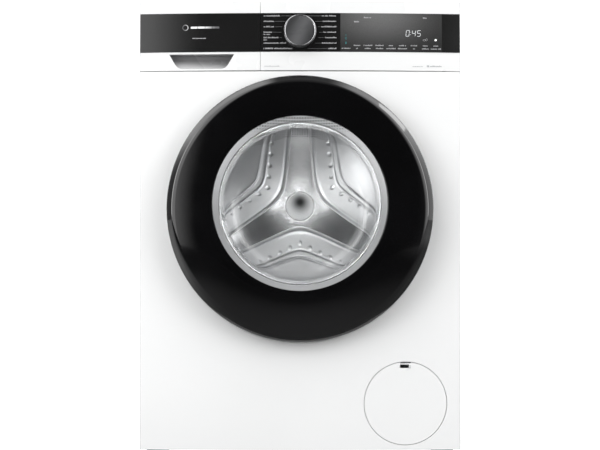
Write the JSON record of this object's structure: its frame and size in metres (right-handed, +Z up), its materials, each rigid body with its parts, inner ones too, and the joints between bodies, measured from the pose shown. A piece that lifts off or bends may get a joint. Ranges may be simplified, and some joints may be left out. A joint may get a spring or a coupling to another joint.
{
  "type": "front load washing machine",
  "caption": "Free-standing white front-load washing machine with a bowed front, black control band, round glass door, detergent drawer and suspended drum.",
  "frame": {"origin": "bottom centre of the whole machine, on the floor", "axes": "+X to the right seen from the front, the front faces -Y, +Z up"},
  "size_m": [0.598, 0.635, 0.848],
  "materials": {
    "body_white": "smooth satin enamel",
    "panel_white": "satin white plastic",
    "worktop_white": "fine textured laminate",
    "band_black": "high gloss",
    "knob_dark": "satin",
    "chrome_trim": "polished",
    "door_black": "high gloss",
    "door_grey": "satin",
    "window_glass": "clear",
    "seal_rubber": "matt",
    "drum_steel": "brushed, bright",
    "galvanised": "dull zinc",
    "screw_steel": "bright zinc",
    "spider_alloy": "as cast",
    "tub_plastic": "moulded grey",
    "concrete_grey": "cast",
    "inner_plastic": "moulded",
    "dark_plastic": "moulded",
    "drawer_plastic": "moulded",
    "blue_plastic": "moulded",
    "black_rubber": "matt",
    "hose_grey": "corrugated",
    "board_green": "moulded",
    "spring_steel": "oiled",
    "motor_metal": "cast"
  },
  "bodies": {
    "cabinet": {"front_panel": "body_white", "side_panel_left": "body_white", "side_panel_right": "body_white", "rear_panel": "galvanised", "rear_access_cover": "galvanised", "cabinet_screws": "screw_steel", "transit_bolt_caps": "dark_plastic", "worktop": "worktop_white", "base_tray": "galvanised", "cross_rails": "galvanised", "control_fascia": "panel_white", "control_band": "band_black", "control_board": "board_green", "dispenser_housing": "inner_plastic", "dispenser_hose": "black_rubber", "inlet_valve": "inner_plastic", "fill_hose": "hose_grey", "cable_gland": "dark_plastic", "drain_hose": "hose_grey", "sump_hose": "black_rubber", "hinge_bracket": "spider_alloy", "door_lock": "dark_plastic", "door_gasket": "seal_rubber", "service_bay": "inner_plastic", "pump_housing": "inner_plastic", "suspension_springs": "spring_steel", "damper_cylinders": "hose_grey"},
    "door": {"door_ring": "door_black", "door_glass": "window_glass", "door_inner_frame": "door_grey", "door_hinge_arm": "galvanised"},
    "door_latch": {"door_latch_hook": "inner_plastic"},
    "drawer": {"drawer_front": "panel_white", "drawer_band": "band_black", "drawer_tray": "drawer_plastic", "siphon_cover": "blue_plastic"},
    "programme_knob": {"programme_knob": "knob_dark", "knob_ring": "chrome_trim"},
    "service_flap": {"service_flap": "body_white"},
    "pump_filter": {"pump_filter": "drawer_plastic"},
    "pump_impeller": {"pump_impeller": "blue_plastic"},
    "tub": {"tub_front": "tub_plastic", "tub_rear": "tub_plastic", "main_bearings": "screw_steel", "heater": "screw_steel", "counterweight_front": "concrete_grey", "counterweight_top": "concrete_grey", "damper_rods": "dark_plastic", "motor_housing": "motor_metal", "drive_belt": "black_rubber"},
    "drum": {"drum_shell": "drum_steel", "drum_back": "drum_steel", "drum_lifters": "inner_plastic", "drum_spider": "spider_alloy", "drum_pulley": "spider_alloy"},
    "motor_rotor": {"motor_rotor": "screw_steel"},
    "foot_front_left": {"foot_front_left": "black_rubber"},
    "foot_front_right": {"foot_front_right": "black_rubber"},
    "foot_rear_left": {"foot_rear_left": "black_rubber"},
    "foot_rear_right": {"foot_rear_right": "black_rubber"}
  },
  "joints": [
    {"name": "door_hinge", "type": "hinge", "parent": "cabinet", "child": "door", "pos_m": [-0.228, -0.288, 0.459], "axis": [0, 0, -1], "range_deg": [0, 120]},
    {"name": "latch_pivot", "type": "hinge", "parent": "door", "child": "door_latch", "pos_m": [0.208, -0.277, 0.459], "axis": [0, 0, 1], "range_deg": [0, 7], "stiffness_Nm_per_rad": 0.3, "springref_deg": -11.46},
    {"name": "drawer_slide", "type": "slide", "parent": "cabinet", "child": "drawer", "axis": [0, -1, 0], "range_m": [0, 0.19]},
    {"name": "programme_turn", "type": "hinge", "parent": "cabinet", "child": "programme_knob", "pos_m": [0, -0.2875, 0.78822], "axis": [0, -0.9976, 0.0698], "continuous": true},
    {"name": "flap_pull", "type": "slide", "parent": "cabinet", "child": "service_flap", "axis": [0, -1, 0], "range_m": [0, 0.03]},
    {"name": "filter_turn", "type": "hinge", "parent": "cabinet", "child": "pump_filter", "pos_m": [0.1958, -0.21, 0.0984], "axis": [0, -1, 0], "range_deg": [-270, 0]},
    {"name": "impeller_spin", "type": "hinge", "parent": "cabinet", "child": "pump_impeller", "pos_m": [0.1958, -0.13, 0.0984], "axis": [0, 1, 0], "continuous": true},
    {"name": "tub_bounce", "type": "slide", "parent": "cabinet", "child": "tub", "axis": [0, 0, 1], "range_m": [-0.012, 0.012], "stiffness_N_per_m": 14000, "springref_m": 0.02894, "deforming": ["suspension_springs", "dispenser_hose", "sump_hose", "door_gasket"]},
    {"name": "drum_spin", "type": "hinge", "parent": "tub", "child": "drum", "pos_m": [0, 0, 0.469], "axis": [0, -1, 0], "continuous": true},
    {"name": "motor_spin", "type": "hinge", "parent": "tub", "child": "motor_rotor", "pos_m": [0.095, 0.16, 0.138], "axis": [0, -1, 0], "continuous": true},
    {"name": "foot_front_left_screw", "type": "slide", "parent": "cabinet", "child": "foot_front_left", "axis": [0, 0, -1], "range_m": [0, 0.014]},
    {"name": "foot_front_right_screw", "type": "slide", "parent": "cabinet", "child": "foot_front_right", "axis": [0, 0, -1], "range_m": [0, 0.014]},
    {"name": "foot_rear_left_screw", "type": "slide", "parent": "cabinet", "child": "foot_rear_left", "axis": [0, 0, -1], "range_m": [0, 0.014]},
    {"name": "foot_rear_right_screw", "type": "slide", "parent": "cabinet", "child": "foot_rear_right", "axis": [0, 0, -1], "range_m": [0, 0.014]}
  ],
  "couplings": [
    {"joint": "motor_spin", "follows": "drum_spin", "ratio": 12}
  ]
}
